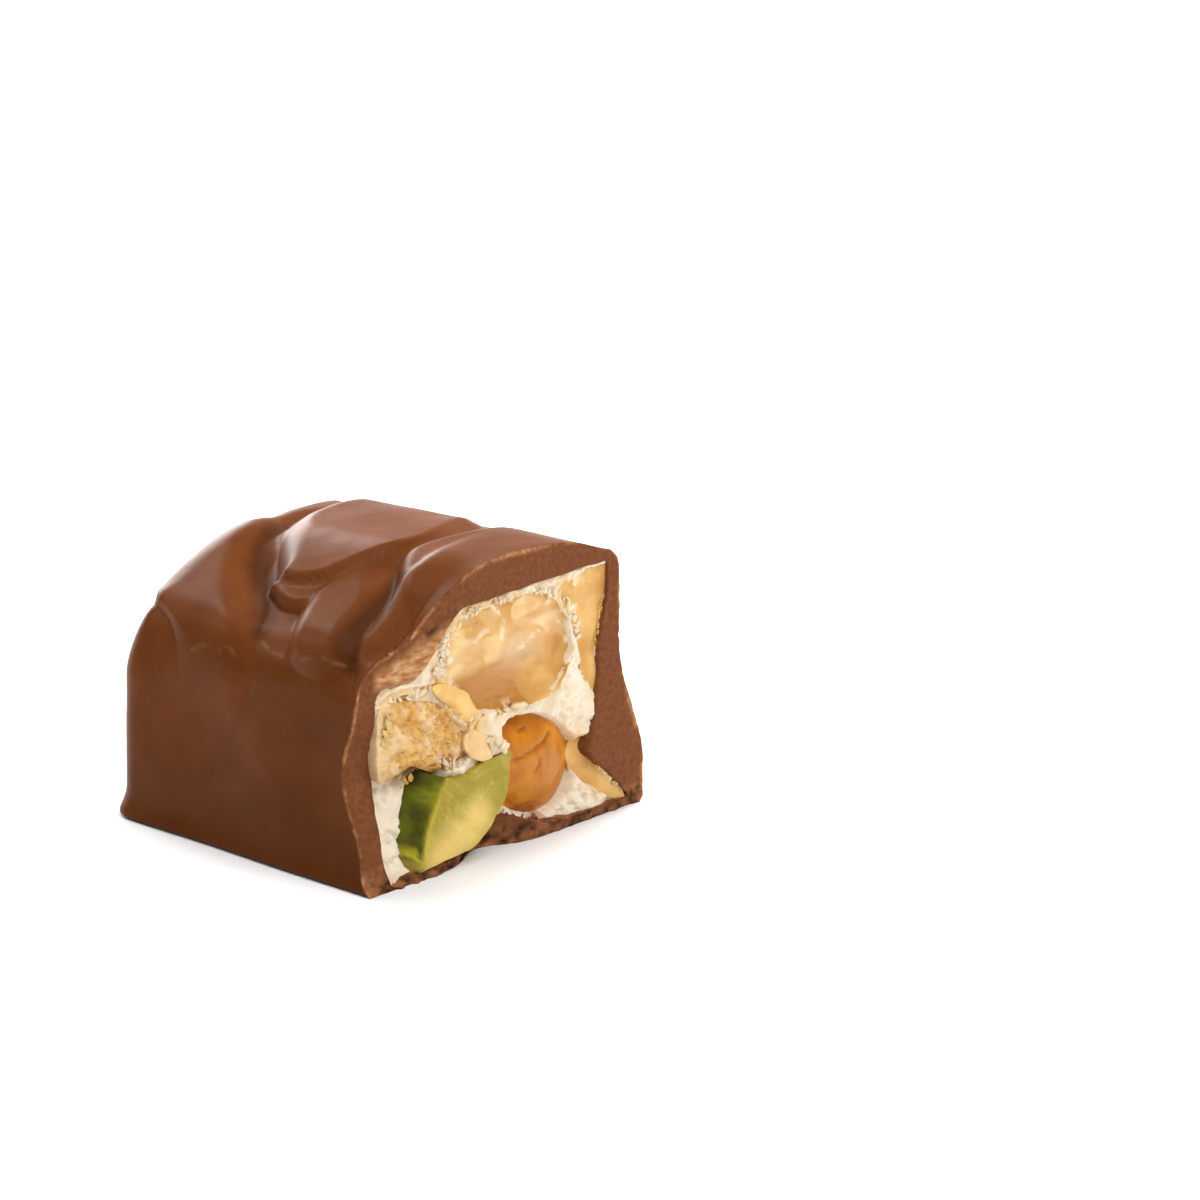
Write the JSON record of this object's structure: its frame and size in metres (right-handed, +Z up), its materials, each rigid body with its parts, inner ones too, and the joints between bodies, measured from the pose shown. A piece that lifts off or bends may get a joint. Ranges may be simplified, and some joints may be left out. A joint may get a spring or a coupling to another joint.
{
  "type": "nougat bar half",
  "caption": "Cut half of a chocolate-covered nougat bar: thick folded coating, open at the cut on white nougat with almond and pistachio pieces.",
  "frame": {"origin": "under the middle of the bar, on the surface it lies on", "axes": "+X across the bar's width, to the right when the cut is seen from in front; +Y from the cut towards the closed end; +Z up"},
  "size_m": [0.028, 0.026, 0.0218],
  "materials": {
    "chocolate": "satin milk chocolate",
    "nougat": "rough, porous",
    "almond": "waxy broken nut",
    "nut_skin": "wrinkled skin",
    "pistachio": "waxy broken nut"
  },
  "bodies": {
    "root": {"chocolate_coating": "chocolate", "nougat": "nougat", "almond_large": "almond", "almond_left": "almond", "almond_right": "almond", "almond_corner": "almond", "almond_sliver": "almond", "almond_chip": "almond", "almond_skinned": "nut_skin", "pistachio": "pistachio"}
  },
  "joints": []
}
